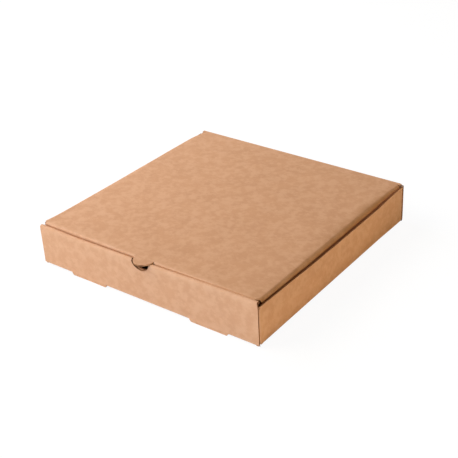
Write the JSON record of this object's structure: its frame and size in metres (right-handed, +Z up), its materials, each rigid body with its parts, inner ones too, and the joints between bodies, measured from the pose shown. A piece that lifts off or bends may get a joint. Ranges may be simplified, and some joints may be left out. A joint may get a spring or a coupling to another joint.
{
  "type": "pizza box",
  "caption": "Flat square folding box of plain brown corrugated board with a rolled front wall, a thumb notch and a tuck-in lid hinged along the back.",
  "frame": {"origin": "middle of the bounding box at the height of the surface that the box stands on", "axes": "+X to the right along the front wall, -Y out of the front wall, +Z up"},
  "size_m": [0.305, 0.3118, 0.054],
  "materials": {
    "kraft_board": "matt uncoated kraft liner",
    "kraft_lid": "matt uncoated kraft liner"
  },
  "bodies": {
    "tray": {"tray": "kraft_board"},
    "lid": {"lid": "kraft_lid"}
  },
  "joints": [
    {"name": "lid_hinge", "type": "hinge", "parent": "tray", "child": "lid", "pos_m": [0, 0.1551, 0.0501], "axis": [-1, 0, 0], "range_deg": [0, 180]}
  ]
}
